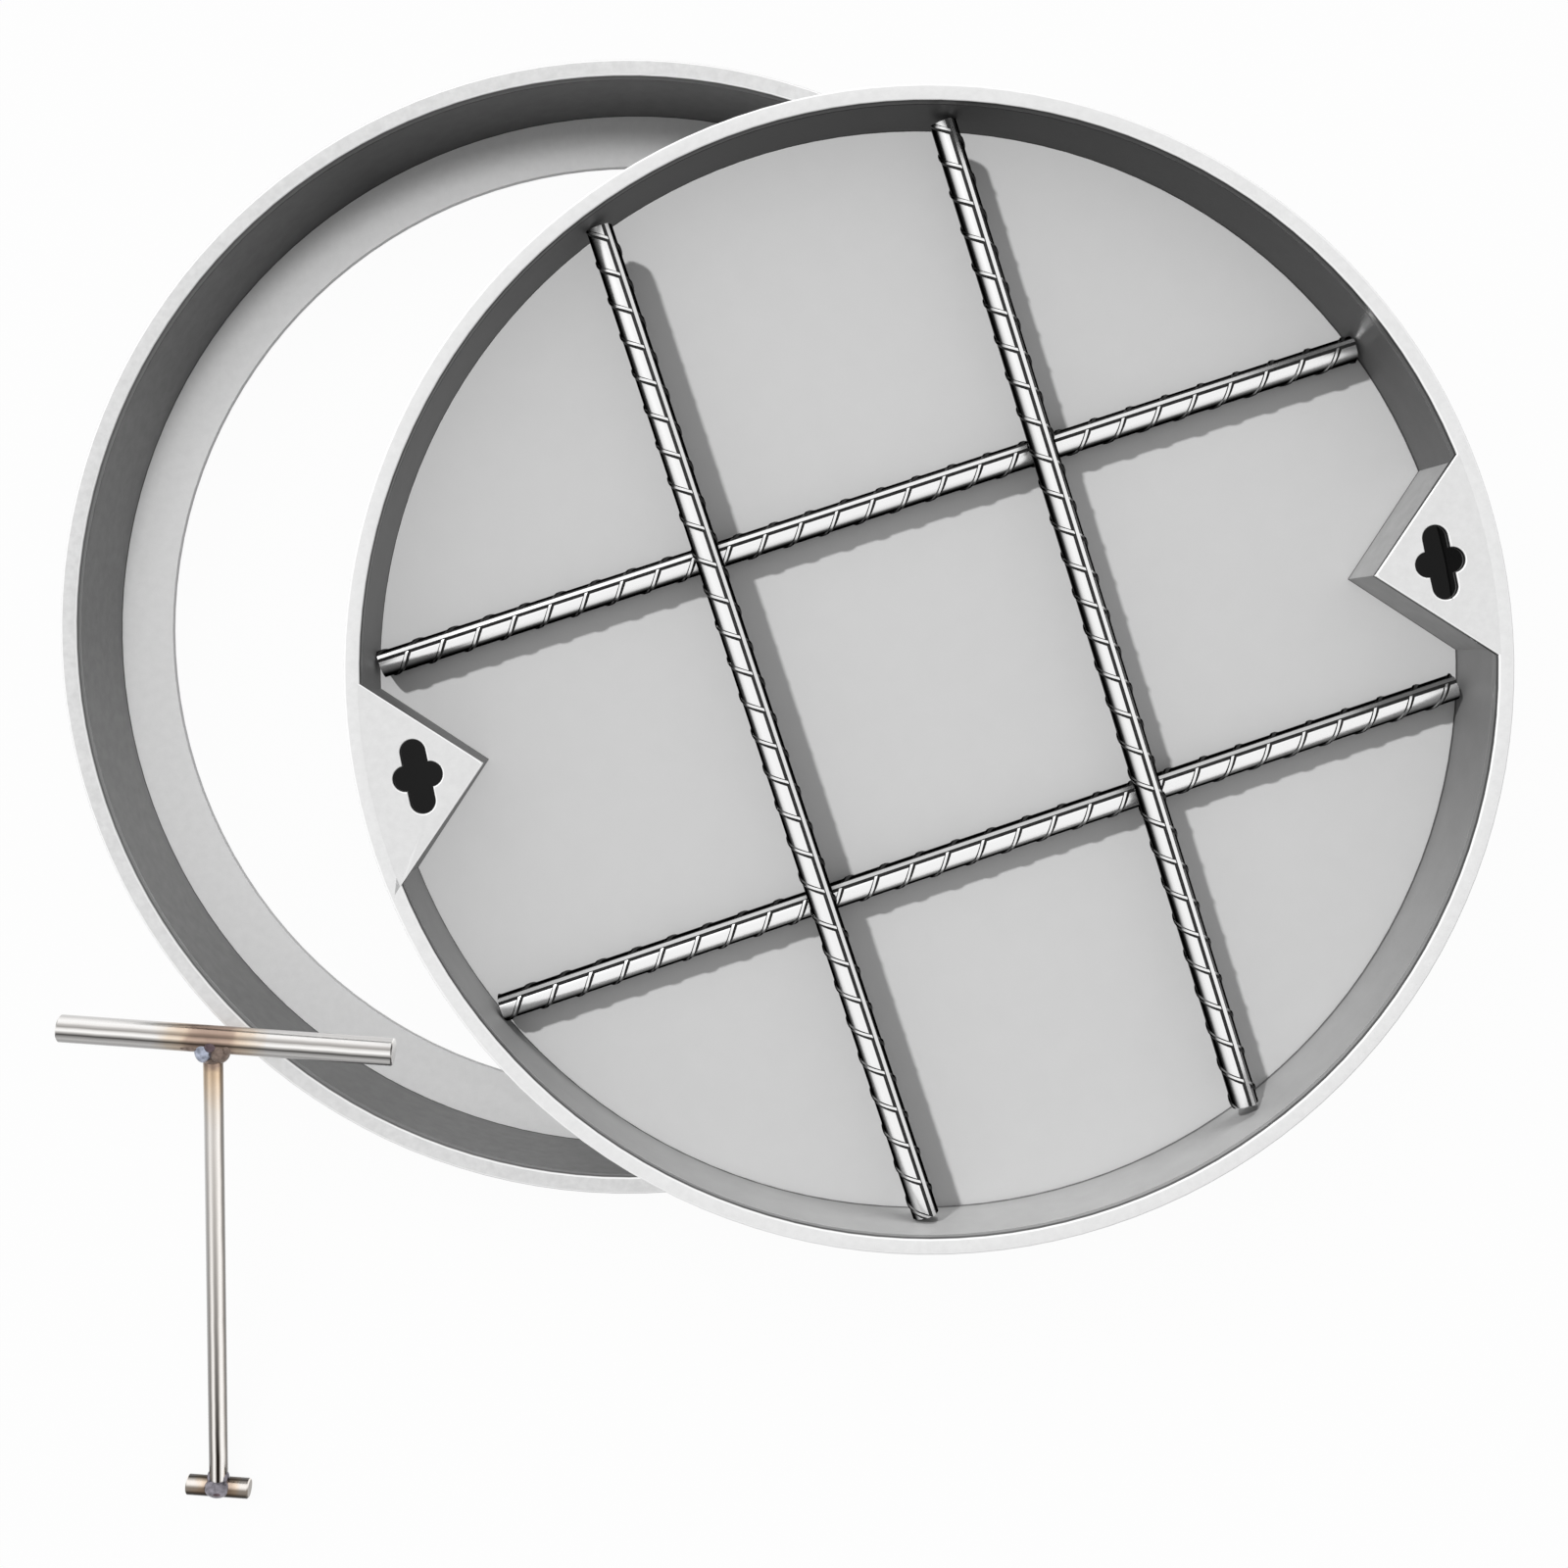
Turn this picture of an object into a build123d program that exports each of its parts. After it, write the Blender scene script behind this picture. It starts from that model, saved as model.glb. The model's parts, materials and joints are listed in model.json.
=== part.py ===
from build123d import *
import math
import os

# Round recessed access cover: a frame set in paving, a tray cover that is filled with paving,
# and the T-shaped key that lifts it. The cover is shown lifted out, lying across the frame, and
# the key leans on the frame's rim.
#
# Origin: centre of the frame, on the surface that it stands on. +Z is up, and +X runs along the
# line through the cover's two lifting pockets. Millimetres throughout.

# ---------------------------------------------------------------- driving dimensions
# frame
frame_radius = 250.0          # outside of the rim
frame_rim_width = 7.5         # flat top edge
frame_rim_height = 6.0
frame_sheet = 3.0             # rolled wall
seat_depth = 60.0             # from the seat up to the top of the rim
seat_thickness = 4.0
seat_overhang = 3.0           # seat ring outside the wall
seat_width = 23.8             # ledge that shows inside the wall
frame_weld = 2.6              # leg of the fillet welds on the frame

# cover
cover_clearance = 3.65        # all round, between the two rims
cover_rim_width = 6.75
cover_rim_height = 6.0
cover_sheet = 3.0             # rolled wall
recess_depth = 44.0           # from the rim down to the floor
floor_thickness = 3.0
cover_weld = 2.4              # leg of the fillet weld under the rim
cover_slide = 127.7           # how far the lifted cover lies off the frame's centre
cover_bearing = -20.3         # and which way

# stiffeners under the floor
stiffener_count = 3
stiffener_spacing = 115.0
stiffener_thickness = 5.0

# lifting pockets
pocket_depth = 46.4           # from the rim in to the corner of the plate
pocket_angle = 90.0           # angle at that corner
plate_thickness = 3.0
pocket_sheet = 2.5            # folded wall under the plate
pocket_inset = 2.5            # wall set back from the edge of the plate
keyhole_setback = 27.3        # from the corner of the plate out to the middle of the keyhole
keyhole_cross = 20.5          # short way of the cross

# reinforcing bars
bar_diameter = 11.2
bar_rib_height = 0.8
bar_rib_width = 1.4
lower_bar_spacing = 153.2
upper_bar_spacing = 147.0
lower_bar_offset = -3.5       # middle of the lower pair, from the middle of the cover
upper_bar_offset = 2.5        # the same for the upper pair
bar_turn = 6.2                # the grid is turned from the line of the pockets
lower_bar_rolls = (52.0, 62.0)    # how far the long ribs are turned up from the side
upper_bar_rolls = (58.0, 70.0)
lower_bar_leans = (0.6, 0.0)      # how far each bar is off square
upper_bar_leans = (0.3, -0.9)

# key
handle_length = 146.5
handle_diameter = 12.0
handle_shift = 6.0            # middle of the handle, from the stem
stem_diameter = 8.6
stem_length = 234.7           # between the axes of the handle and of the foot
foot_length = 29.5
foot_diameter = 9.2
key_weld = 3.2                # leg of the weld round each end of the stem
end_chamfer = 0.6
key_standoff = 5.5            # from the rim out to the joint of stem and handle
key_bearing = 213.1           # which side of the frame the key leans on
key_turn = -15.9              # how the handle is turned from the X axis

# clearances
key_clearance = 0.6           # round the foot in the keyhole
resting_gap = 0.3             # under the handle where it crosses the rim

# ---------------------------------------------------------------- derived sizes
frame_inner = frame_radius - frame_rim_width
opening_radius = frame_inner - seat_width
frame_wall_outer = frame_inner + frame_sheet
frame_top = seat_thickness + seat_depth

cover_radius = frame_inner - cover_clearance
cover_inner = cover_radius - cover_rim_width
cover_wall_outer = cover_inner + cover_sheet
cover_top = seat_depth                          # in the cover's own frame, so it seats flush
floor_top = cover_top - recess_depth
floor_bottom = floor_top - floor_thickness
plate_bottom = cover_top - plate_thickness

pocket_apex = cover_inner - pocket_depth
keyhole_radius = pocket_apex + keyhole_setback
keyhole_length = foot_length + 2 * key_clearance
keyhole_width = foot_diameter + 2 * key_clearance

bar_radius = bar_diameter / 2
lower_bar_level = floor_top + bar_radius + bar_rib_height
upper_bar_level = lower_bar_level + bar_diameter + bar_rib_height

handle_level = frame_top + resting_gap + handle_diameter / 2
foot_level = foot_diameter / 2
key_tilt = math.degrees(math.asin((handle_level - foot_level) / stem_length))

cover_place = Rot(0, 0, cover_bearing) * Pos(cover_slide, 0, frame_top) * Rot(0, 0, -cover_bearing)


# ---------------------------------------------------------------- helpers
def ring(inner, outer, bottom, top):
    """Flat or upright ring about the Z axis."""
    profile = Pos(0, 0, bottom) * (Circle(outer) - Circle(inner))
    return extrude(profile, top - bottom)


def weld_ring(radius, level, leg, outward, upward):
    """Fillet weld in the corner at this radius and level."""
    corner = (radius, level)
    along = (radius + leg * outward, level)
    across = (radius, level + leg * upward)
    profile = Plane.XZ * make_face(Polyline(corner, along, across, close=True))
    return revolve(profile, Axis.Z)


def save(shape, name):
    export_step(shape, f"parts/{name}.step")


# ---------------------------------------------------------------- frame
def frame_parts():
    rim_bottom = frame_top - frame_rim_height
    seat_outer = frame_wall_outer + seat_overhang
    return {
        "frame_rim": ring(frame_inner, frame_radius, rim_bottom, frame_top),
        "frame_wall": ring(frame_inner, frame_wall_outer, seat_thickness, rim_bottom),
        "frame_seat_ring": ring(opening_radius, seat_outer, 0, seat_thickness),
        "frame_rim_weld": weld_ring(frame_wall_outer, rim_bottom, frame_weld, 1, -1),
        "frame_seat_weld": weld_ring(frame_wall_outer, seat_thickness, frame_weld, 1, 1),
    }


# ---------------------------------------------------------------- cover
def tray_parts():
    rim_bottom = cover_top - cover_rim_height
    return {
        "cover_rim": ring(cover_inner, cover_radius, rim_bottom, cover_top),
        "cover_wall": ring(cover_inner, cover_wall_outer, 0, rim_bottom),
        "cover_floor": Pos(0, 0, floor_bottom) * extrude(Circle(cover_inner), floor_thickness),
        "cover_rim_weld": weld_ring(cover_wall_outer, rim_bottom, cover_weld, 1, -1),
    }


def stiffener_parts():
    """Flat bars on edge under the floor, cut to the inside of the wall."""
    inside = extrude(Circle(cover_inner), floor_bottom)
    middle = (stiffener_count - 1) / 2
    parts = {}
    for number in range(stiffener_count):
        place = Pos(0, (number - middle) * stiffener_spacing, floor_bottom / 2)
        bar = place * Box(2 * cover_inner, stiffener_thickness, floor_bottom)
        parts[f"stiffener_{number + 1}"] = bar & inside
    return parts


def corner_area(apex, level):
    """The corner between two lines that meet at the apex, out to the inside of the wall."""
    far = 2 * cover_inner
    spread = far * math.tan(math.radians(pocket_angle / 2))
    outline = Polyline((apex, 0), (apex + far, -spread), (apex + far, spread), close=True)
    return Pos(0, 0, level) * (make_face(outline) & Circle(cover_inner))


def keyhole():
    """Cross with rounded ends, its long way along the rim."""
    long_slot = Rot(0, 0, 90) * SlotOverall(keyhole_length, keyhole_width)
    short_slot = SlotOverall(keyhole_cross, keyhole_width)
    return Pos(keyhole_radius, 0) * (long_slot + short_slot)


def pocket_plate():
    plate = extrude(corner_area(pocket_apex, plate_bottom), plate_thickness)
    hole = extrude(Pos(0, 0, plate_bottom) * keyhole(), plate_thickness)
    return plate - hole


def pocket_wall():
    """Sheet folded to the shape of the plate's corner, from the floor up to the plate."""
    along_axis = 1 / math.sin(math.radians(pocket_angle / 2))
    outside = pocket_apex + pocket_inset * along_axis
    inside = outside + pocket_sheet * along_axis
    profile = corner_area(outside, floor_top) - corner_area(inside, floor_top)
    return extrude(profile, plate_bottom - floor_top)


def pocket_parts():
    parts = {}
    for side, turn in (("right", 0), ("left", 180)):
        parts[f"pocket_plate_{side}"] = Rot(0, 0, turn) * pocket_plate()
        parts[f"pocket_wall_{side}"] = Rot(0, 0, turn) * pocket_wall()
    return parts


def ribbed_bar(half_length, roll):
    """Reinforcing bar along X, with its two long ribs."""
    bar = Rot(0, 90, 0) * Cylinder(bar_radius, 2 * half_length)
    rib_span = bar_diameter + 2 * bar_rib_height
    ribs = Box(2 * half_length, rib_span, bar_rib_width)
    return Rot(roll, 0, 0) * (bar + ribs)


def bar_parts():
    """Two crossing pairs, each bar as long as fits square between the walls."""
    layers = (("lower", lower_bar_level, 0, lower_bar_spacing, lower_bar_offset,
               lower_bar_rolls, lower_bar_leans),
              ("upper", upper_bar_level, -90, upper_bar_spacing, upper_bar_offset,
               upper_bar_rolls, upper_bar_leans))
    parts = {}
    for layer, level, turn, spacing, offset, rolls, leans in layers:
        for number, side in enumerate((-1, 1), start=1):
            place = offset + side * spacing / 2
            roll, lean = rolls[number - 1], leans[number - 1]
            half_length = math.sqrt(cover_inner ** 2 - (abs(place) + bar_radius) ** 2)
            half_length -= abs(place * math.sin(math.radians(lean)))
            bar = Pos(0, place, level) * Rot(0, 0, lean) * ribbed_bar(half_length, roll)
            parts[f"bar_{layer}_{number}"] = Rot(0, 0, bar_turn + turn) * bar
    return parts


# ---------------------------------------------------------------- key
def round_bar(length, diameter):
    """Round bar along X with broken edges at its ends."""
    bar = Rot(0, 90, 0) * Cylinder(diameter / 2, length)
    return chamfer(bar.edges().filter_by(GeomType.CIRCLE), end_chamfer)


def stem_weld(crossing_diameter, stem):
    """Hollow weld bead between the stem and the bar that crosses it at the origin."""
    crossing_radius = crossing_diameter / 2
    radius = stem_diameter / 2
    reach = radius + key_weld
    low = crossing_radius / 2
    toe = (reach, 0.72 * crossing_radius)
    waist = (radius + 0.35 * key_weld, crossing_radius + 0.3 * key_weld)
    top = (radius, crossing_radius + key_weld)
    profile = make_face(Polyline((0, low), (reach, low), toe, waist, top, (0, top[1]), close=True))
    sides = Box(4 * reach, crossing_diameter + 0.4 * key_weld, 4 * reach)
    bead = revolve(Plane.XZ * profile, Axis.Z) & sides
    crossing = Rot(0, 90, 0) * Cylinder(crossing_radius, 4 * reach)
    return bead - crossing - stem


def key_parts():
    """Key in its own frame: handle along X through the origin, stem down along -Z."""
    handle_bar = Rot(0, 90, 0) * Cylinder(handle_diameter / 2, handle_length)
    foot_place = Pos(0, 0, -stem_length)
    foot_bar = foot_place * Rot(0, 90, 0) * Cylinder(foot_diameter / 2, foot_length)
    stem = Pos(0, 0, -stem_length / 2) * Cylinder(stem_diameter / 2, stem_length)
    stem = stem - handle_bar - foot_bar
    top_weld = Rot(180, 0, 0) * stem_weld(handle_diameter, Rot(180, 0, 0) * stem)
    foot_weld = foot_place * stem_weld(foot_diameter, Pos(0, 0, stem_length) * stem)
    return {
        "key_handle": Pos(handle_shift, 0, 0) * round_bar(handle_length, handle_diameter),
        "key_stem": stem,
        "key_foot": foot_place * round_bar(foot_length, foot_diameter),
        "key_handle_weld": top_weld,
        "key_foot_weld": foot_weld,
    }


# ---------------------------------------------------------------- assembly
def main():
    os.makedirs("parts", exist_ok=True)
    for name, shape in frame_parts().items():
        save(shape, name)

    cover = tray_parts() | stiffener_parts() | pocket_parts() | bar_parts()
    for name, shape in cover.items():
        save(cover_place * shape, name)

    # the key leans with its foot on the ground and its handle across the rim
    lean = Rot(0, 0, key_turn) * Rot(key_tilt - 90, 0, 0)
    key_foothold = Rot(0, 0, key_bearing) * Pos(frame_radius + key_standoff, 0, handle_level)
    key_pose = Pos(key_foothold.position) * lean
    for name, shape in key_parts().items():
        save(key_pose * shape, name)


main()
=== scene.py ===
import json
import math

import bpy
from mathutils import Matrix, Vector

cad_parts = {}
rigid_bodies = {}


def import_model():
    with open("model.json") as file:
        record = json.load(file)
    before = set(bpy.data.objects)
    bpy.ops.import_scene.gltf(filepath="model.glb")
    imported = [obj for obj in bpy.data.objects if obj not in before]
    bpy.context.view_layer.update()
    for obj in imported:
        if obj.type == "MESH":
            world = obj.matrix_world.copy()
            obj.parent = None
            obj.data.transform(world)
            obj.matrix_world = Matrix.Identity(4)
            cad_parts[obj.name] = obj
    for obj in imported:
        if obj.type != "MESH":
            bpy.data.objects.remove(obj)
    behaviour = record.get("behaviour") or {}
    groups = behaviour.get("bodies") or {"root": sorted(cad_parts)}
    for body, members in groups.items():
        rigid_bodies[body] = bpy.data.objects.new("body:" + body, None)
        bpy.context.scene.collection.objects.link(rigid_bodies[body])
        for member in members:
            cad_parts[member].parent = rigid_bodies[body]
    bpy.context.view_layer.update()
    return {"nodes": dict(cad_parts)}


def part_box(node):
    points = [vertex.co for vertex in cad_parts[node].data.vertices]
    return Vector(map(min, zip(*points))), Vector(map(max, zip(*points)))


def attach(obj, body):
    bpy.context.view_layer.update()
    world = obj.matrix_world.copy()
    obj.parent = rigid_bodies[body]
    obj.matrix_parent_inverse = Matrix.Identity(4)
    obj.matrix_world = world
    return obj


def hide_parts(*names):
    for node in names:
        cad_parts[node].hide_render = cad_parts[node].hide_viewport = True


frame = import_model()
nodes = frame["nodes"]
mm = 0.001
print("frame loaded:", len(nodes), "nodes")

# the set is turned a little under the camera: where the camera's right and up point
pictureTurn = math.radians(-11.83)
pictureRight = Vector((math.cos(pictureTurn), math.sin(pictureTurn), 0))
pictureUp = Vector((-math.sin(pictureTurn), math.cos(pictureTurn), 0))


def deselectAll():
    bpy.ops.object.select_all(action="DESELECT")


def boxCentre(name):
    low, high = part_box(name)
    return (Vector(low) + Vector(high)) / 2


def select(*pieces):
    deselectAll()
    for piece in pieces:
        piece.select_set(True)
    bpy.context.view_layer.objects.active = pieces[0]


def applyModifiers(piece):
    select(piece)
    for modifier in list(piece.modifiers):
        bpy.ops.object.modifier_apply(modifier=modifier.name)


def joinPieces(pieces, name):
    select(*pieces)
    bpy.ops.object.join()
    piece = bpy.context.object
    piece.name = name
    piece.data.name = name
    return piece


def putInPlace(piece, matrix):
    piece.matrix_world = matrix
    select(piece)
    bpy.ops.object.transform_apply(location=True, rotation=True, scale=True)


deselectAll()
frameCentre = boxCentre("frame_wall")
coverCentre = boxCentre("cover_wall")
coverInner = 232.1          # inside of the tray's wall, from its middle, in millimetres
mergeDistance = 0.00001     # the carried-over meshes have doubled points
smoothAngle = math.radians(32)


# node helpers for the materials
def newMaterial(name):
    material = bpy.data.materials.new(name)
    material.use_nodes = True
    shader = material.node_tree.nodes["Principled BSDF"]
    return material, material.node_tree, shader


def connect(tree, value, socket):
    # a value may be another node's output or a plain number or vector
    if isinstance(value, bpy.types.NodeSocket):
        tree.links.new(value, socket)
    else:
        socket.default_value = value


def calculate(tree, operation, first, second=None):
    node = tree.nodes.new("ShaderNodeMath")
    node.operation = operation
    connect(tree, first, node.inputs[0])
    if second is not None:
        connect(tree, second, node.inputs[1])
    return node.outputs[0]


def vectorStep(tree, operation, first, second=None):
    node = tree.nodes.new("ShaderNodeVectorMath")
    node.operation = operation
    connect(tree, first, node.inputs[0])
    if second is not None:
        connect(tree, second, node.inputs[1])
    return node.outputs["Value" if operation in ("DOT_PRODUCT", "LENGTH") else "Vector"]


def mixColors(tree, share, first, second, blend="MIX"):
    node = tree.nodes.new("ShaderNodeMix")
    node.data_type = "RGBA"
    node.blend_type = blend
    connect(tree, share, node.inputs["Factor"])
    for key, value in (("A", first), ("B", second)):
        socket = [one for one in node.inputs if one.name == key and one.type == "RGBA"][0]
        connect(tree, (*value, 1) if isinstance(value, tuple) else value, socket)
    return [one for one in node.outputs if one.type == "RGBA"][0]


def stretchTo(tree, value, low, high):
    # low..high becomes 0..1, held at the ends
    node = tree.nodes.new("ShaderNodeMapRange")
    connect(tree, value, node.inputs["Value"])
    node.inputs["From Min"].default_value = low
    node.inputs["From Max"].default_value = high
    return node.outputs["Result"]


def ramp(tree, source, stops):
    node = tree.nodes.new("ShaderNodeValToRGB")
    elements = node.color_ramp.elements
    while len(elements) < len(stops):
        elements.new(0.5)
    for element, (position, color) in zip(elements, stops):
        element.position = position
        element.color = (*color, 1)
    tree.links.new(source, node.inputs["Fac"])
    return node.outputs["Color"]


def signedRamp(tree, source, stops):
    # the same for a value from -1 to 1
    return ramp(tree, stretchTo(tree, source, -1, 1), [((place + 1) / 2, color) for place, color in stops])


def noise(tree, vector, scale, detail=3.0, roughness=0.5):
    texture = tree.nodes.new("ShaderNodeTexNoise")
    texture.inputs["Scale"].default_value = scale
    texture.inputs["Detail"].default_value = detail
    texture.inputs["Roughness"].default_value = roughness
    connect(tree, vector, texture.inputs["Vector"])
    return texture.outputs["Fac"]


def grey(value):
    return (value, value, value)


def mottled(tree, place, color, blotches, amount, fine=0.0):
    # soft blotches of the given size in millimetres, and a fine grain over them
    field = noise(tree, place, 1 / (blotches * mm), 3, 0.55)
    spread = ramp(tree, field, [(0.3, grey(1 - amount)), (0.7, grey(1.0))])
    color = mixColors(tree, 1.0, color, spread, "MULTIPLY")
    if fine:
        grain = noise(tree, place, 1 / (0.5 * mm), 2, 0.6)
        spread = ramp(tree, grain, [(0.25, grey(1 - fine)), (0.75, grey(1.0))])
        color = mixColors(tree, 1.0, color, spread, "MULTIPLY")
    return color


def grainBump(tree, shader, place, size, strength, distance, detail=3, roughness=0.6):
    # grain of the given size in millimetres, raised by a distance in metres
    height = noise(tree, place, 1 / (size * mm), detail, roughness)
    bump = tree.nodes.new("ShaderNodeBump")
    bump.inputs["Strength"].default_value = strength
    bump.inputs["Distance"].default_value = distance
    connect(tree, height, bump.inputs["Height"])
    tree.links.new(bump.outputs["Normal"], shader.inputs["Normal"])


def roundPlace(tree, place, centre):
    # direction from a centre in plan, and the distance from it
    flat = vectorStep(tree, "MULTIPLY", vectorStep(tree, "SUBTRACT", place, tuple(centre)), (1, 1, 0))
    return vectorStep(tree, "NORMALIZE", flat), vectorStep(tree, "LENGTH", flat)


def clockwiseFromRight(degrees):
    # a direction in plan, counted clockwise from the camera's right
    angle = math.radians(degrees)
    return tuple(pictureRight * math.cos(angle) - pictureUp * math.sin(angle))


def setSurface(tree, shader, color, metallic, roughness, specular=0.5):
    tree.links.new(color, shader.inputs["Base Color"])
    shader.inputs["Metallic"].default_value = metallic
    shader.inputs["Roughness"].default_value = roughness
    shader.inputs["Specular IOR Level"].default_value = specular


def paintedLightAndShadeRound(tree, around, look):
    # painted light and shade: tone by the side of the ring that a point is on, set by the look's tones and brightest
    # side
    share = vectorStep(tree, "DOT_PRODUCT", around, clockwiseFromRight(look["brightest"]))
    return signedRamp(tree, share, [(at, grey(tone)) for at, tone in look["tones"]])


turnings = {
    "inToOut": (-0.1, 0.1),         # normal along the way from the middle: inner side to outer side
    "inToOutSharp": (-0.05, 0.05),
    "sideToEdge": (0.45, 0.75),     # normal upward: side to broken edge
    "edgeToTop": (0.985, 0.998),    # broken edge to flat top
}


def topSteel(name, tone, look, outerSide, top, edge=0.93, blotches=3.0, amount=0.06):
    # ground flat tops; painted highlight on the broken edges, the wall's painted shade on the inner side, painted black
    # under the edge
    material, tree, shader = newMaterial(name)
    coordinates = tree.nodes.new("ShaderNodeTexCoord")
    place, normal = coordinates.outputs["Object"], coordinates.outputs["Normal"]
    around, _ = roundPlace(tree, place, look["centre"])
    outward = vectorStep(tree, "DOT_PRODUCT", normal, around)
    height = vectorStep(tree, "DOT_PRODUCT", place, (0, 0, 1))
    # painted shade: the inner side darkens to the look's lip tone in the last few millimetres under the top
    under = ramp(tree, stretchTo(tree, height, (top - 6) * mm, top * mm),
                 [(0.0, grey(1.0)), (0.55, grey(1.0)), (0.68, grey(look["lip"])), (1.0, grey(look["lip"]))])
    inner = mixColors(tree, 1.0, paintedLightAndShadeRound(tree, around, look), under, "MULTIPLY")
    # side faces: painted tones on the inner side, the given outer tone on the outer side
    side = mixColors(tree, stretchTo(tree, outward, *turnings["inToOutSharp"]), inner, grey(outerSide))
    upward = vectorStep(tree, "DOT_PRODUCT", normal, (0, 0, 1))
    flat = mottled(tree, place, grey(tone), blotches, amount, 0.03)
    # painted highlight: the broken edges get the bright edge tone
    color = mixColors(tree, stretchTo(tree, upward, *turnings["edgeToTop"]), grey(edge), flat)
    color = mixColors(tree, stretchTo(tree, upward, *turnings["sideToEdge"]), side, color)
    setSurface(tree, shader, color, 0.0, 0.45, 0.3)
    grainBump(tree, shader, place, 0.9, 0.12, 0.0002)
    return material


pocketShape = {
    "corner": 192.3,        # from the middle of the cover to the inside of the pocket's corner
    # inside: the painted shade's tone
    "inside": 0.02,         # tone of the closed space under the plate
}


def paintedPocketShade(tree, place, color):
    # painted shade: the closed corners under the keyhole plates are painted black
    away = vectorStep(tree, "SUBTRACT", place, tuple(coverCentre))
    along = calculate(tree, "ABSOLUTE", vectorStep(tree, "DOT_PRODUCT", away, (1, 0, 0)))
    across = calculate(tree, "ABSOLUTE", vectorStep(tree, "DOT_PRODUCT", away, (0, 1, 0)))
    corner = pocketShape["corner"] * mm
    inside = stretchTo(tree, calculate(tree, "SUBTRACT", along, across), corner, corner + 0.0005)
    return mixColors(tree, inside, color, grey(pocketShape["inside"]))


def wallSteelFor(name, look):
    # rolled plate with cloudy marks; painted light and shade by the side of the ring, darker on the side the light
    # comes from, and a painted shade along the foot
    material, tree, shader = newMaterial(name)
    coordinates = tree.nodes.new("ShaderNodeTexCoord")
    place, normal = coordinates.outputs["Object"], coordinates.outputs["Normal"]
    around, _ = roundPlace(tree, place, look["centre"])
    outward = vectorStep(tree, "DOT_PRODUCT", normal, around)
    inner = paintedLightAndShadeRound(tree, around, look)
    # painted shade in the closed pocket corners
    if look.get("pockets"):
        inner = paintedPocketShade(tree, place, inner)
    height = vectorStep(tree, "DOT_PRODUCT", place, (0, 0, 1))
    foot = look["foot"] * mm
    # painted shade: dark along the foot of the inner side
    shade = ramp(tree, stretchTo(tree, height, foot - 0.001, foot + 0.009),
                 [(0.0, grey(0.35)), (0.22, grey(0.35)), (0.32, grey(0.92)), (1.0, grey(1.0))])
    inner = mixColors(tree, 1.0, inner, shade, "MULTIPLY")
    color = mixColors(tree, stretchTo(tree, outward, *turnings["inToOut"]), inner, grey(look["outside"]))
    color = mottled(tree, place, color, look["blotches"], look["amount"], 0.04)
    setSurface(tree, shader, color, 0.0, 0.5, 0.2)
    grainBump(tree, shader, place, 1.2, 0.15, 0.0003)
    return material


def seatSteelFor(name, tone):
    material, tree, shader = newMaterial(name)
    place = tree.nodes.new("ShaderNodeTexCoord").outputs["Object"]
    color = mottled(tree, place, grey(tone), 4.0, 0.05, 0.03)
    setSurface(tree, shader, color, 0.0, 0.5, 0.2)
    grainBump(tree, shader, place, 0.9, 0.12, 0.0002)
    return material


def floorSteelSheet():
    # matt rolled sheet, nearly even
    material, tree, shader = newMaterial("floorSteel")
    place = tree.nodes.new("ShaderNodeTexCoord").outputs["Object"]
    color = mottled(tree, place, grey(0.635), 12.0, 0.015, 0.02)
    # painted shade: the floor under the keyhole plates is painted black
    color = paintedPocketShade(tree, place, color)
    setSurface(tree, shader, color, 0.0, 0.6, 0.15)
    grainBump(tree, shader, place, 0.7, 0.08, 0.0002)
    return material


def barSteelPaintedReflections():
    # painted reflections: bright crown, a black band on each side, grey below, set by the way the surface faces
    material, tree, shader = newMaterial("barSteel")
    normal = tree.nodes.new("ShaderNodeTexCoord").outputs["Normal"]
    facing = vectorStep(tree, "DOT_PRODUCT", normal, (0, 0, 1))
    color = ramp(tree, facing, [(0.0, grey(0.26)), (0.12, grey(0.16)), (0.27, grey(0.01)),
                                (0.50, grey(0.006)), (0.62, grey(0.05)),
                                (0.70, grey(0.24)), (0.77, grey(0.50)), (0.85, grey(0.76)), (0.95, grey(0.88))])
    setSurface(tree, shader, color, 1.0, 0.25)
    shader.inputs["Specular Tint"].default_value = (0.2, 0.2, 0.2, 1)
    return material


def ribFlankShadeSteel():
    # painted shade on the flanks of the ribs: near black, with blotches
    material, tree, shader = newMaterial("barCrease")
    place = tree.nodes.new("ShaderNodeTexCoord").outputs["Object"]
    color = mottled(tree, place, grey(0.03), 1.5, 0.5)
    setSurface(tree, shader, color, 0.3, 0.5, 0.2)
    return material


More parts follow.
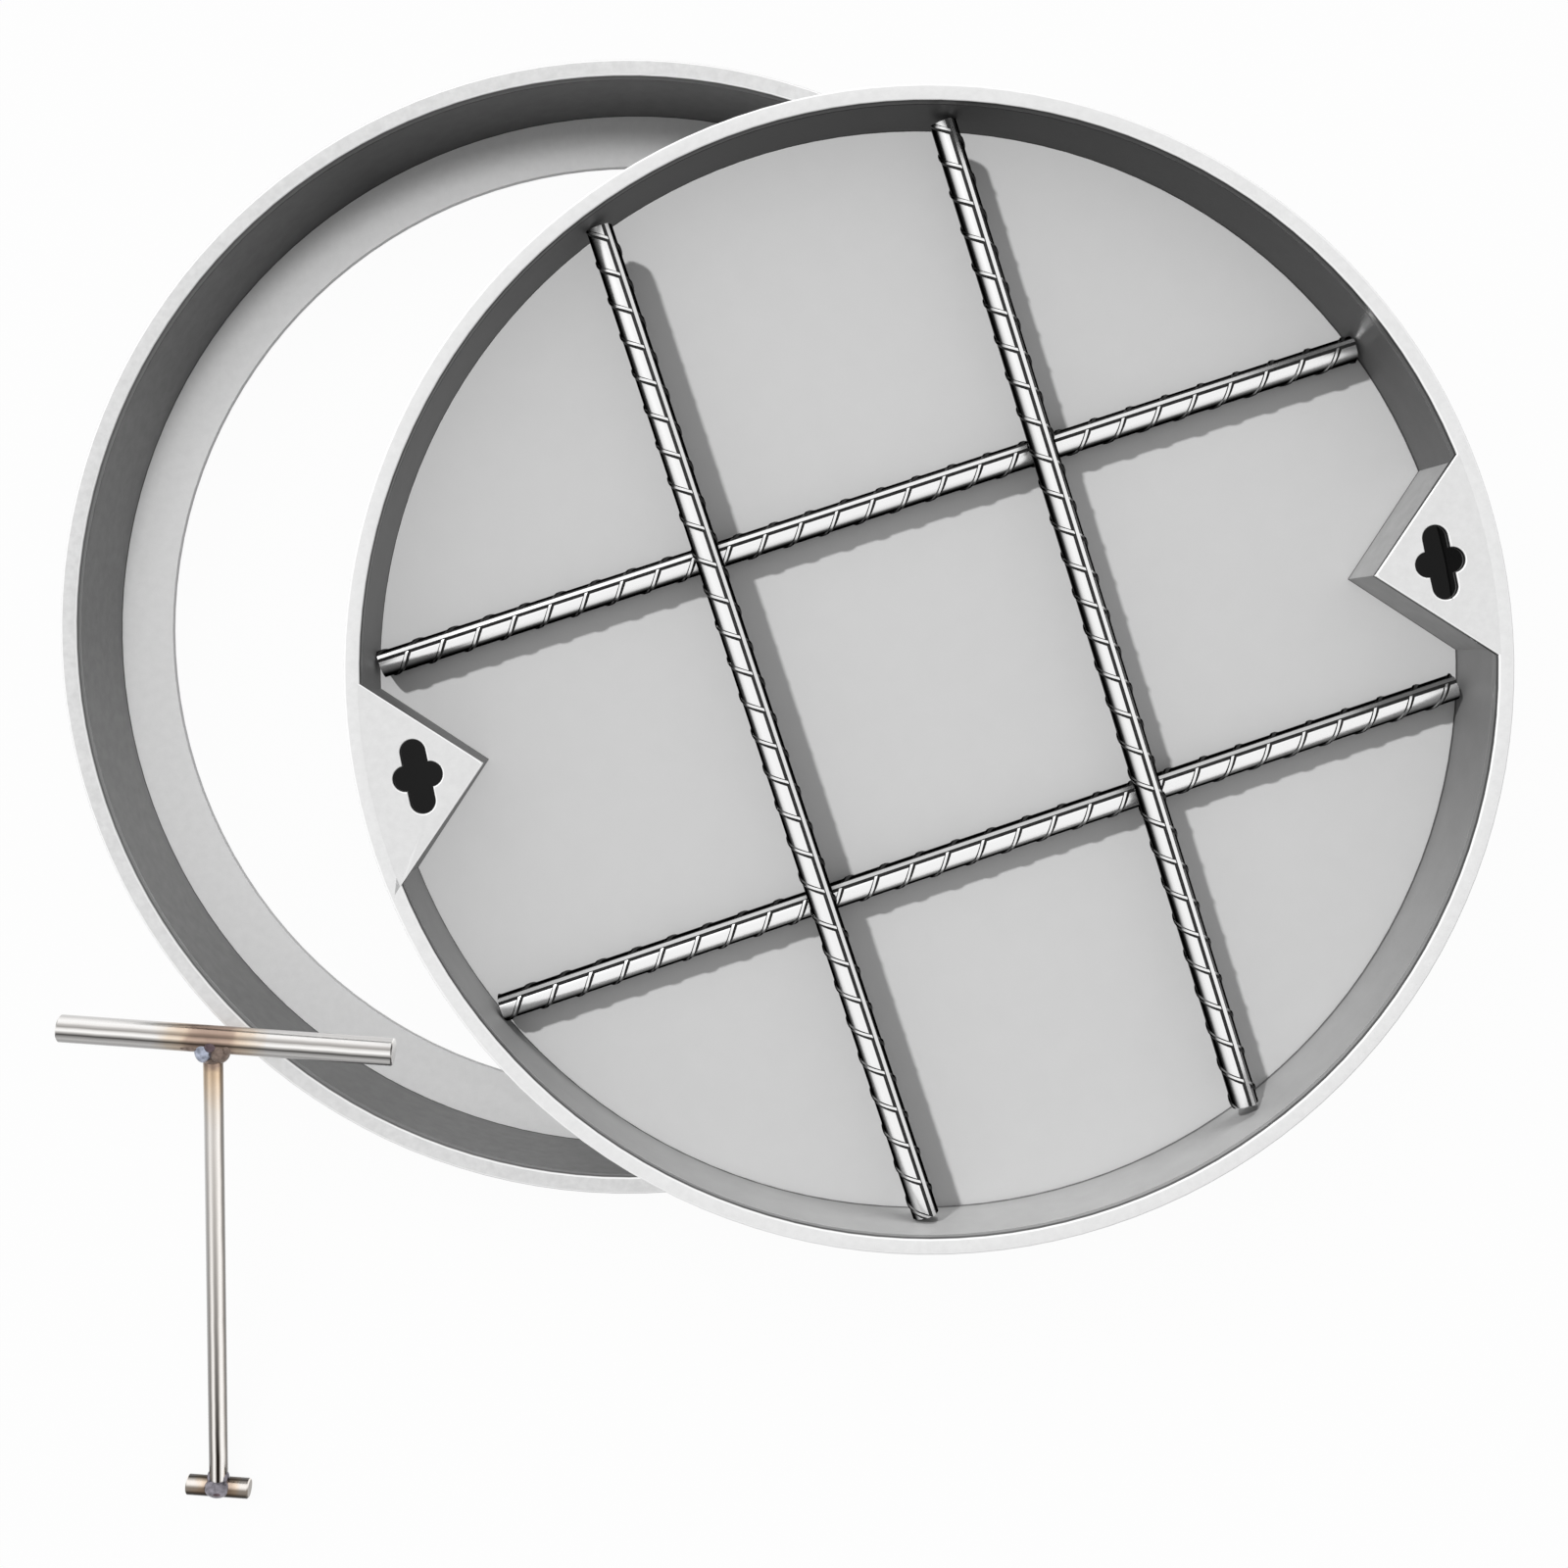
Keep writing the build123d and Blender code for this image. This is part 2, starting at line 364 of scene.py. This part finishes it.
def bandedSteel(name, across, bands, foot=None, tint=None):
    # polished round bar: painted reflections, bright and dark streaks along it, set by the side each strip faces
    material, tree, shader = newMaterial(name)
    coordinates = tree.nodes.new("ShaderNodeTexCoord")
    place, normal = coordinates.outputs["Object"], coordinates.outputs["Normal"]
    side = vectorStep(tree, "DOT_PRODUCT", normal, tuple(across))
    wobble = calculate(tree, "MULTIPLY", calculate(tree, "SUBTRACT", noise(tree, place, 60, 2), 0.5), 0.08)
    side = calculate(tree, "ADD", side, wobble)
    color = signedRamp(tree, side, bands)
    # a second set of painted reflection streaks towards the stem's foot
    if foot:
        along = vectorStep(tree, "DOT_PRODUCT", place, tuple(foot["direction"]))
        share = stretchTo(tree, along, foot["start"], foot["end"])
        color = mixColors(tree, share, color, signedRamp(tree, side, foot["bands"]))
    if tint:
        gap = vectorStep(tree, "LENGTH", vectorStep(tree, "SUBTRACT", place, tuple(tint["centre"])))
        cloudy = calculate(tree, "MULTIPLY", calculate(tree, "SUBTRACT", noise(tree, place, 180, 3), 0.5), 0.008)
        heat = ramp(tree, stretchTo(tree, calculate(tree, "ADD", gap, cloudy), 0, tint["reach"]), tint["colors"])
        color = mixColors(tree, 1.0, color, heat, "MULTIPLY")
    setSurface(tree, shader, color, 1.0, 0.22)
    return material


def weldSteelSeam():
    material, tree, shader = newMaterial("weldSteel")
    place = tree.nodes.new("ShaderNodeTexCoord").outputs["Object"]
    color = mottled(tree, place, grey(0.45), 2.0, 0.35, 0.05)
    setSurface(tree, shader, color, 0.7, 0.4)
    grainBump(tree, shader, place, 1.6, 0.6, 0.0006, 2, 0.5)
    return material


def weldLumpSteel(name, color):
    # weld metal with the bloom of its heat
    material, tree, shader = newMaterial(name)
    place = tree.nodes.new("ShaderNodeTexCoord").outputs["Object"]
    color = mottled(tree, place, color, 2.2, 0.6)
    setSurface(tree, shader, color, 1.0, 0.32)
    grainBump(tree, shader, place, 1.5, 0.5, 0.0006, 2, 0.5)
    return material


# the key's own directions
keyShape = {
    "bearing": -15.9,       # turn of the handle from the line of the pockets, degrees
    "tilt": 16.3,           # how far the stem dips
    "stemLength": 234.7,
    "stemRadius": 4.3,
    "handleRadius": 6.0,
    "handleShift": 6.0,     # the handle's middle, from the stem
    "footRadius": 4.6,
}
keyTurn = math.radians(keyShape["bearing"])
keyTilt = math.radians(keyShape["tilt"])
handleAlong = Vector((math.cos(keyTurn), math.sin(keyTurn), 0))
levelAcross = Vector((-math.sin(keyTurn), math.cos(keyTurn), 0))
stemDown = -levelAcross * math.cos(keyTilt) - Vector((0, 0, 1)) * math.sin(keyTilt)
stemTop = boxCentre("key_handle") - handleAlong * keyShape["handleShift"] * mm
stemEnd = stemTop + stemDown * keyShape["stemLength"] * mm


def streaks(lean, *rows):
    # rows of painted reflection streaks run across the bar: place, red and blue; lean turns them round it, in degrees
    turned = []
    for at, red, blue in rows:
        angle = math.asin(at) + math.radians(lean)
        if abs(angle) < math.pi / 2:
            color = tuple((value / 255) ** 2.2 for value in (red, (red + blue) / 2, blue))
            turned.append((math.sin(angle), color))
    return turned


handleBands = streaks(11, (-1.0, 165, 163), (-0.86, 152, 150), (-0.70, 182, 179), (-0.56, 150, 147), (-0.42, 66, 63),
                      (-0.27, 185, 180), (-0.14, 255, 252), (0.0, 236, 231), (0.15, 160, 154), (0.30, 195, 189),
                      (0.43, 242, 237), (0.57, 255, 252), (0.71, 244, 240), (0.86, 210, 207), (1.0, 200, 199))
stemBands = streaks(16, (-1.0, 225, 225), (-0.9, 192, 190), (-0.78, 165, 160), (-0.64, 187, 180), (-0.48, 228, 220),
                    (-0.38, 236, 227), (-0.24, 217, 208), (-0.08, 198, 188), (0.08, 209, 199), (0.24, 230, 220),
                    (0.40, 255, 245), (0.52, 252, 242), (0.60, 220, 208), (0.70, 150, 140), (0.82, 122, 114),
                    (0.92, 140, 134), (1.0, 185, 182))
stemFootBands = streaks(16, (-1.0, 150, 146), (-0.86, 130, 124), (-0.76, 100, 93), (-0.66, 120, 112), (-0.56, 208, 198),
                        (-0.48, 250, 242), (-0.38, 252, 245), (-0.28, 190, 180), (-0.20, 95, 84), (-0.10, 20, 10),
                        (0.0, 20, 12), (0.08, 72, 62), (0.20, 182, 172), (0.32, 250, 243), (0.50, 255, 248),
                        (0.62, 235, 226), (0.74, 158, 147), (0.86, 110, 100), (1.0, 132, 126))
footBands = streaks(24, (-1.0, 60, 52), (-0.88, 18, 8), (-0.73, 73, 60), (-0.58, 121, 104), (-0.46, 131, 113),
                    (-0.30, 133, 115), (-0.19, 171, 157), (-0.04, 236, 223), (0.06, 251, 239), (0.19, 255, 242),
                    (0.35, 250, 236), (0.50, 199, 186), (0.65, 121, 112), (0.77, 56, 48), (0.88, 100, 95),
                    (1.0, 175, 172))
handleTint = {"centre": stemTop, "reach": 0.026, "colors": [
    (0.0, (0.42, 0.30, 0.25)), (0.38, (0.58, 0.44, 0.36)), (0.52, (0.86, 0.70, 0.56)), (0.70, (0.95, 0.84, 0.72)),
    (1.0, (1.0, 1.0, 1.0))]}
stemTint = {"centre": stemTop, "reach": 0.044, "colors": [
    (0.0, (0.38, 0.28, 0.23)), (0.27, (0.46, 0.35, 0.29)), (0.36, (0.86, 0.68, 0.50)), (0.5, (0.93, 0.78, 0.62)),
    (0.75, (0.98, 0.94, 0.89)), (1.0, (1.0, 1.0, 1.0))]}
footTint = {"centre": stemEnd, "reach": 0.013, "colors": [
    (0.0, (0.35, 0.28, 0.25)), (0.5, (0.58, 0.47, 0.40)), (0.78, (0.98, 0.86, 0.74)), (1.0, (1.0, 1.0, 1.0))]}

# ring looks: tones are painted light and shade by the side of the ring, lightest towards brightest; lip is the painted
# shade under a top edge; foot is the height of the painted shade at a wall's foot
coverSteel = {
    "centre": coverCentre, "brightest": 89, "outside": 0.42, "foot": 80, "blotches": 14, "amount": 0.08,
    "pockets": True, "lip": 0.25,
    "tones": ((-1.0, 0.03), (-0.6, 0.12), (-0.2, 0.195), (0.2, 0.195), (0.6, 0.27), (1.0, 0.34))}
frameSteel = {
    "centre": frameCentre, "brightest": 150, "outside": 0.42, "foot": 4, "blotches": 6, "amount": 0.16, "lip": 0.5,
    "tones": ((-1.0, 0.13), (-0.5, 0.115), (0.0, 0.060), (0.5, 0.165), (0.64, 0.235), (0.87, 0.275), (1.0, 0.40))}
# the pocket walls' outside faces the closed pocket and is painted black as shade
pocketSteel = {
    "centre": coverCentre, "brightest": 215, "outside": 0.02, "foot": 80, "blotches": 8, "amount": 0.12,
    "tones": ((-1.0, 0.42), (-0.3, 0.36), (0.3, 0.25), (1.0, 0.16))}
# outer side tones: plain on the cover rim, painted shade on the frame rim and the keyhole plates
coverRimSteel = topSteel("coverRimSteel", 0.83, coverSteel, 0.80, 124)
frameRimSteel = topSteel("frameRimSteel", 0.75, frameSteel, 0.25, 64, amount=0.12)
plateSteel = topSteel("plateSteel", 0.775, {**coverSteel, "lip": 0.1}, 0.05, 124)
coverWallSteel = wallSteelFor("coverWallSteel", coverSteel)
frameWallSteel = wallSteelFor("frameWallSteel", frameSteel)
pocketWallSteel = wallSteelFor("pocketWallSteel", pocketSteel)
seatSteel = seatSteelFor("seatSteel", 0.66)
stiffenerSteel = seatSteelFor("stiffenerSteel", 0.55)
floorSteel = floorSteelSheet()
barSteel = barSteelPaintedReflections()
barCrease = ribFlankShadeSteel()
handleSteel = bandedSteel("handleSteel", levelAcross, handleBands, tint=handleTint)
stemSteel = bandedSteel("stemSteel", handleAlong, stemBands, tint=stemTint, foot={
    "direction": stemDown, "bands": stemFootBands,
    "start": stemTop.dot(stemDown) + 0.05, "end": stemEnd.dot(stemDown) - 0.02})
footSteel = bandedSteel("footSteel", levelAcross, footBands, tint=footTint)
weldSteel = weldSteelSeam()
print("materials made")


nodeEdges = {"segments": 3, "sharperThan": math.radians(35), "normalWeight": 100}


def finishNode(name, material, edge):
    piece = nodes[name]
    piece.data.materials.clear()
    piece.data.materials.append(material)
    weld = piece.modifiers.new("merge", "WELD")
    weld.merge_threshold = mergeDistance
    bevel = piece.modifiers.new("edges", "BEVEL")
    bevel.width = edge * mm
    bevel.segments = nodeEdges["segments"]
    bevel.limit_method = "ANGLE"
    bevel.angle_limit = nodeEdges["sharperThan"]
    select(piece)
    bpy.ops.object.shade_smooth_by_angle(angle=smoothAngle)
    normals = piece.modifiers.new("even normals", "WEIGHTED_NORMAL")
    normals.keep_sharp = True
    normals.weight = nodeEdges["normalWeight"]


# the carried-over solids: material, and the width of their broken edges in millimetres
finishes = {
    "frame_rim": (frameRimSteel, 1.0),
    "frame_wall": (frameWallSteel, 0.3),
    "frame_seat_ring": (seatSteel, 0.3),
    "frame_rim_weld": (weldSteel, 0.2),
    "frame_seat_weld": (weldSteel, 0.2),
    "cover_rim": (coverRimSteel, 1.0),
    "cover_wall": (coverWallSteel, 0.3),
    "cover_floor": (floorSteel, 0.2),
    "cover_rim_weld": (weldSteel, 0.2),
    "stiffener_1": (stiffenerSteel, 0.3),
    "stiffener_2": (stiffenerSteel, 0.3),
    "stiffener_3": (stiffenerSteel, 0.3),
    "pocket_wall_right": (pocketWallSteel, 0.2),
    "pocket_wall_left": (pocketWallSteel, 0.2),
    "key_handle": (handleSteel, 0.2),
    "key_stem": (stemSteel, 0.2),
    "key_foot": (footSteel, 0.2),
}
for nodeName, (material, edge) in finishes.items():
    finishNode(nodeName, material, edge)
print("nodes finished")


plateShape = {
    "seam": 1.0,            # how far the arc is grown to close over the rim's broken edge, in millimetres
    "brokenEdge": 0.8,
    "arcMargin": 0.3,       # points this near to the tray's wall belong to the arc
    "topMargin": 0.1,
    "segments": 3,
}


def makePlate(name):
    # broken edges along the straight sides and round the keyhole; flush with the rim along the arc
    deselectAll()
    plate = nodes[name].copy()
    plate.data = nodes[name].data.copy()
    bpy.context.collection.objects.link(plate)
    plate.name = name.replace("pocket_", "keyhole_")
    plate.data.name = plate.name
    plate.data.materials.clear()
    plate.data.materials.append(plateSteel)
    select(plate)
    bpy.ops.object.mode_set(mode="EDIT")
    bpy.ops.mesh.select_all(action="SELECT")
    bpy.ops.mesh.remove_doubles(threshold=mergeDistance)
    bpy.ops.mesh.dissolve_limited(angle_limit=math.radians(1))
    bpy.ops.mesh.select_all(action="DESELECT")
    bpy.ops.object.mode_set(mode="OBJECT")
    centre = Vector((coverCentre.x, coverCentre.y, 0))
    low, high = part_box(name)
    arcStart = (coverInner - plateShape["arcMargin"]) * mm
    onArc = [(vertex.co - centre).xy.length > arcStart for vertex in plate.data.vertices]
    for vertex, there in zip(plate.data.vertices, onArc):
        vertex.select = there
    bpy.ops.object.mode_set(mode="EDIT")
    share = 1 + plateShape["seam"] / coverInner
    bpy.ops.transform.resize(value=(share, share, 1), center_override=tuple(centre))
    bpy.ops.mesh.select_all(action="DESELECT")
    bpy.ops.object.mode_set(mode="OBJECT")
    for edge in plate.data.edges:
        ends = [plate.data.vertices[number].co for number in edge.vertices]
        arc = all(onArc[number] for number in edge.vertices)
        edge.select = not arc and all(end.z > high[2] - plateShape["topMargin"] * mm for end in ends)
    bpy.ops.object.mode_set(mode="EDIT")
    bpy.ops.mesh.select_mode(type="EDGE")
    bpy.ops.mesh.bevel(offset=plateShape["brokenEdge"] * mm, segments=plateShape["segments"])
    bpy.ops.object.mode_set(mode="OBJECT")
    for vertex in plate.data.vertices:
        vertex.co.z = min(vertex.co.z, high[2])
    bpy.ops.object.shade_smooth_by_angle(angle=smoothAngle)
    normals = plate.modifiers.new("even normals", "WEIGHTED_NORMAL")
    normals.keep_sharp = True
    applyModifiers(plate)
    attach(plate, "cover")
    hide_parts(name)


for plateName in ("pocket_plate_right", "pocket_plate_left"):
    makePlate(plateName)
print("keyhole plates made")


lumpColors = {
    "blue": (0.50, 0.54, 0.66),
    "brown": (0.26, 0.20, 0.17),
    "violet": (0.17, 0.125, 0.14),
    "grey": (0.34, 0.32, 0.36),
}
# lumps of the key's two welds: color, place along the handle, down the stem and up from it, and radii, in millimetres
handleWeldLumps = (
    ("blue", (-3.2, 4.2, 2.4), (4.2, 5.8, 4.6)),
    ("brown", (3.7, 4.2, 2.4), (4.7, 5.6, 4.6)),
    ("violet", (0.3, 1.2, 4.4), (3.2, 2.8, 2.6)),
    ("brown", (7.6, 1.8, 4.6), (2.2, 2.8, 1.8)),
    ("brown", (-9.0, 2.4, 4.7), (4.5, 1.5, 1.4)),
    ("brown", (-3.8, 4.4, -1.6), (4.0, 4.4, 4.0)),
    ("brown", (3.8, 4.4, -1.6), (4.0, 4.4, 4.0)),
    ("brown", (0.0, 8.6, 1.2), (4.9, 2.2, 4.0)))
footWeldLumps = (
    ("grey", (0.0, -1.2, 2.8), (6.2, 4.8, 4.0)),
    ("violet", (0.6, -0.6, 5.6), (2.4, 1.6, 1.4)),
    ("grey", (0.0, -3.0, 0.0), (5.8, 3.4, 4.0)),
    ("grey", (-3.6, -5.4, 0.8), (1.6, 3.6, 2.6)),
    ("grey", (3.6, -5.4, 0.8), (1.6, 3.6, 2.6)))
lumpRings = {"segments": 28, "ring_count": 18}
lumpSteels = {name: weldLumpSteel(name + "WeldSteel", color) for name, color in lumpColors.items()}


def makeWeldLumps(name, joint, lumps):
    up = stemDown.cross(handleAlong)
    axes = Matrix((handleAlong, -stemDown, up)).transposed().to_4x4()
    beads = []
    for colorName, place, radii in lumps:
        bpy.ops.mesh.primitive_uv_sphere_add(**lumpRings, radius=1)
        bead = bpy.context.object
        bead.data.materials.append(lumpSteels[colorName])
        bead.scale = Vector(radii) * mm
        bead.location = Vector((place[0], -place[1], place[2])) * mm
        bpy.ops.object.transform_apply(location=True, scale=True)
        select(bead)
        bpy.ops.object.shade_smooth()
        beads.append(bead)
    weld = joinPieces(beads, name.replace("_weld", "_weld_beads"))
    putInPlace(weld, Matrix.Translation(joint) @ axes)
    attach(weld, "key")
    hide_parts(name)


makeWeldLumps("key_handle_weld", stemTop, handleWeldLumps)
makeWeldLumps("key_foot_weld", stemEnd, footWeldLumps)
print("key's welds made")


barShape = {
    "radius": 5.6,
    "rootDepth": 0.5,       # how far the ribs go into the core
    "sides": 40,
    # flank faces beyond this get the painted flank shade
    "flankFacing": 0.25,    # faces of a rib that look aside by more than this are dark
    "coreSmooth": math.radians(40),
    "ribSmooth": math.radians(25),
    "turn": 6.2,            # degrees from the line of the pockets
    "longRibHeight": 0.8,
    "crossRibHeight": 0.6,
    "longRib": (-2.0, -0.8, 0.8, 2.0),      # foot, top, top and foot across it
    "crossRib": (-1.3, -0.6, 0.6, 3.2),
    "crossRibPitch": 16.0,
    "crossRibLead": 4.1,    # millimetres along the bar for each radian round it
    "crossRibSteps": 12,
    "bars": {               # node: (turn, roll of the long rib, where the first cross rib lies)
        "bar_lower_1": (0.6, 52, 13.0),
        "bar_lower_2": (0.0, 62, 13.0),
        "bar_upper_1": (-89.7, 58, 5.8),
        "bar_upper_2": (-90.9, 70, 7.4),
    },
}


def giveBarMaterials(piece):
    piece.data.materials.clear()
    piece.data.materials.append(barSteel)
    piece.data.materials.append(barCrease)


def addRibProfile(widths, radius, height):
    # a small trapezium standing on the bar's side at +Y, lying in the XY plane
    bpy.ops.mesh.primitive_plane_add(size=1, location=(0, 0, 0))
    rib = bpy.context.object
    root = radius - barShape["rootDepth"]
    corners = ((widths[0], root), (widths[3], root),
               (widths[1], radius + height), (widths[2], radius + height))
    for vertex, (along, out) in zip(rib.data.vertices, corners):
        vertex.co = (along * mm, out * mm, 0)
    return rib


def darkenFlanks(piece, direction, sides):
    # faces of a rib that look along the direction get the second material, the painted flank shade
    for face in piece.data.polygons:
        facing = face.normal.dot(direction)
        dark = facing > barShape["flankFacing"] or (sides == 2 and facing < -barShape["flankFacing"])
        face.material_index = 1 if dark else 0


def makeCrossRibs(halfLength, first, roll):
    # one rib wound half round the bar from long rib to long rib, its twin opposite, then the row
    shape = barShape
    rib = addRibProfile(shape["crossRib"], shape["radius"], shape["crossRibHeight"])
    select(rib)
    bpy.ops.object.mode_set(mode="EDIT")
    bpy.ops.mesh.select_all(action="SELECT")
    span = math.pi
    step = span / shape["crossRibSteps"]
    lead = shape["crossRibLead"] * mm
    bpy.ops.transform.rotate(value=-math.radians(roll), orient_axis="X", center_override=(0, 0, 0))
    bpy.ops.transform.translate(value=(lead * span / 2, 0, 0))
    for _ in range(shape["crossRibSteps"]):
        bpy.ops.mesh.extrude_region_move()
        bpy.ops.transform.rotate(value=-step, orient_axis="X", center_override=(0, 0, 0))
        bpy.ops.transform.translate(value=(-lead * step, 0, 0))
    bpy.ops.mesh.select_all(action="SELECT")
    bpy.ops.mesh.normals_make_consistent(inside=False)
    bpy.ops.mesh.duplicate()
    bpy.ops.transform.rotate(value=math.pi, orient_axis="X", center_override=(0, 0, 0))
    bpy.ops.transform.translate(value=(lead * span, 0, 0))      # so that they meet at the long rib
    bpy.ops.object.mode_set(mode="OBJECT")
    giveBarMaterials(rib)
    darkenFlanks(rib, Vector((1, 0, 0)), 1)
    pitch = shape["crossRibPitch"] * mm
    count = int(2 * halfLength / pitch) + 5
    rib.location.x = first * mm - pitch * (count // 2 + 1)
    bpy.ops.object.transform_apply(location=True)
    row = rib.modifiers.new("row", "ARRAY")
    row.count = count
    row.use_relative_offset = False
    row.use_constant_offset = True
    row.constant_offset_displace = (pitch, 0, 0)
    applyModifiers(rib)
    bpy.ops.object.mode_set(mode="EDIT")
    for end in (-1, 1):
        bpy.ops.mesh.select_all(action="SELECT")
        bpy.ops.mesh.bisect(plane_co=(end * halfLength, 0, 0), plane_no=(end, 0, 0),
                            use_fill=True, clear_outer=True)
    bpy.ops.object.mode_set(mode="OBJECT")
    return rib


def makeLongRibs(halfLength, roll):
    shape = barShape
    ribs = []
    for side in (0, math.pi):
        rib = addRibProfile(shape["longRib"], shape["radius"], shape["longRibHeight"])
        select(rib)
        bpy.ops.object.mode_set(mode="EDIT")
        bpy.ops.mesh.select_all(action="SELECT")
        bpy.ops.transform.rotate(value=math.pi / 2, orient_axis="Y", center_override=(0, 0, 0))
        bpy.ops.transform.translate(value=(-halfLength, 0, 0))
        bpy.ops.mesh.extrude_region_move(TRANSFORM_OT_translate={"value": (2 * halfLength, 0, 0)})
        bpy.ops.mesh.select_all(action="SELECT")
        bpy.ops.mesh.normals_make_consistent(inside=False)
        bpy.ops.object.mode_set(mode="OBJECT")
        giveBarMaterials(rib)
        darkenFlanks(rib, Vector((0, 0, 1)), 2)
        putInPlace(rib, Matrix.Rotation(math.radians(roll) + side, 4, "X"))
        ribs.append(rib)
    return ribs


def makeBar(name, turn, roll, first):
    shape = barShape
    low, high = (Vector(corner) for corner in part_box(name))
    radius = shape["radius"] * mm
    angle = math.radians(shape["turn"] + turn)
    along, across = (0, 1) if abs(math.cos(angle)) > 0.7 else (1, 0)
    direction = (math.cos(angle), math.sin(angle))
    reach = (high[along] - low[along]) / 2
    halfLength = (reach - radius * abs(direction[across])) / abs(direction[along])
    bpy.ops.mesh.primitive_cylinder_add(vertices=shape["sides"], radius=radius, depth=2 * halfLength,
                                        rotation=(0, math.pi / 2, 0))
    core = bpy.context.object
    bpy.ops.object.transform_apply(rotation=True)
    giveBarMaterials(core)
    select(core)
    bpy.ops.object.shade_smooth_by_angle(angle=shape["coreSmooth"])
    crossRibs = makeCrossRibs(halfLength, first, roll)
    select(crossRibs)
    bpy.ops.object.shade_smooth_by_angle(angle=shape["ribSmooth"])
    bar = joinPieces([core, crossRibs, *makeLongRibs(halfLength, roll)], name.replace("bar_", "ribbed_bar_"))
    putInPlace(bar, Matrix.Translation((low + high) / 2) @ Matrix.Rotation(angle, 4, "Z"))
    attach(bar, "cover")
    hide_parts(name)
    print(bar.name, "length", round(2 * halfLength / mm, 1))


for barName, (turn, roll, first) in barShape["bars"].items():
    makeBar(barName, turn, roll, first)
print("bars made")


cameraSettings = {
    "lens": 42.0,
    "sensorWidth": 36,
    "place": (0.0426, -0.0269, 0.8695),
    "shiftX": 0.03125,
    "shiftY": -0.075,
}


def addCamera():
    bpy.ops.object.camera_add(location=cameraSettings["place"], rotation=(0, 0, pictureTurn))
    camera = bpy.context.object
    camera.name = "topCamera"
    camera.data.lens = cameraSettings["lens"]
    camera.data.sensor_width = cameraSettings["sensorWidth"]
    camera.data.shift_x = cameraSettings["shiftX"]
    camera.data.shift_y = cameraSettings["shiftY"]
    bpy.context.scene.camera = camera


studioLook = {
    "floorSize": 12,
    "floorLevel": -0.0003,
    "floorTone": 0.8,
    "floorRoughness": 0.9,
    "floorGlow": 0.95,      # share of its own white that the camera sees
    "worldTone": 0.48,
}


def addFloor():
    deselectAll()
    bpy.ops.mesh.primitive_plane_add(size=studioLook["floorSize"], location=(0, 0, studioLook["floorLevel"]))
    floor = bpy.context.object
    floor.name = "studioFloor"
    material, tree, shader = newMaterial("studioFloorPaper")
    shader.inputs["Base Color"].default_value = (*grey(studioLook["floorTone"]), 1)
    shader.inputs["Roughness"].default_value = studioLook["floorRoughness"]
    lightPath = tree.nodes.new("ShaderNodeLightPath")
    glow = tree.nodes.new("ShaderNodeEmission")
    glow.inputs["Color"].default_value = (1, 1, 1, 1)
    mix = tree.nodes.new("ShaderNodeMixShader")
    seen = calculate(tree, "MAXIMUM", lightPath.outputs["Is Camera Ray"], lightPath.outputs["Is Glossy Ray"])
    tree.links.new(calculate(tree, "MULTIPLY", seen, studioLook["floorGlow"]), mix.inputs["Fac"])
    tree.links.new(shader.outputs["BSDF"], mix.inputs[1])
    tree.links.new(glow.outputs["Emission"], mix.inputs[2])
    output = tree.nodes["Material Output"]
    tree.links.new(mix.outputs["Shader"], output.inputs["Surface"])
    floor.data.materials.append(material)


def addWorld():
    world = bpy.data.worlds.new("studioWorld")
    bpy.context.scene.world = world
    world.use_nodes = True
    tree = world.node_tree
    background = tree.nodes["Background"]
    lightPath = tree.nodes.new("ShaderNodeLightPath")
    seen = calculate(tree, "MAXIMUM", lightPath.outputs["Is Camera Ray"], lightPath.outputs["Is Glossy Ray"])
    color = mixColors(tree, seen, grey(studioLook["worldTone"]), grey(1.0))
    tree.links.new(color, background.inputs["Color"])
    background.inputs["Strength"].default_value = 1.0


def addSun(name, slope, energy, spread, blockerNames=(), receiverNames=()):
    # slope: how far the light leans to the camera's right and up for each unit of height
    toward = slope[0] * pictureRight + slope[1] * pictureUp + Vector((0, 0, 1))
    bpy.ops.object.light_add(type="SUN", rotation=toward.to_track_quat("Z", "Y").to_euler())
    sun = bpy.context.object
    sun.name = name
    sun.data.energy = energy
    sun.data.angle = math.radians(spread)
    for kind, names in (("blocker", blockerNames), ("receiver", receiverNames)):
        if names:
            group = bpy.data.collections.new(name + kind.title())
            for pieceName in names:
                group.objects.link(bpy.data.objects[pieceName])
            setattr(sun.light_linking, kind + "_collection", group)


# slope to the camera's right and up, energy, spread in degrees
suns = {
    "keySun": ((-0.81, 0.82), 2.52, 3),
    "frameSun": ((0.12, 0.50), 1.0, 30),
    "seatSun": ((0.08, 0.22), 1.1, 14),
    "wallSun": ((0.0, 5.7), 1.9, 20),
    "groundSun": ((-0.3, 0.4), 1.4, 60),
}


def addLights():
    bars = [piece.name for piece in bpy.data.objects if piece.name.startswith("ribbed_bar_")]
    unlit = ("key_", "frame_seat_ring", "studioFloor")
    others = [piece.name for piece in bpy.data.objects
              if piece.type == "MESH" and not piece.hide_render and not piece.name.startswith(unlit)]
    # which pieces cast a shadow in each light, and which it falls on
    reach = {
        "keySun": (bars, others),
        "frameSun": (["frame_wall", "frame_rim"], ["frame_seat_ring"]),
        "seatSun": (["frame_wall", "frame_rim"], ["frame_seat_ring"]),
        "wallSun": (bars, ["cover_wall"]),
        "groundSun": ([], ["studioFloor"]),
    }
    for name, (slope, energy, spread) in suns.items():
        addSun(name, slope, energy, spread, *reach[name])


addCamera()
addFloor()
addWorld()
addLights()
bpy.context.scene.view_settings.view_transform = "Standard"

print("scene ready")
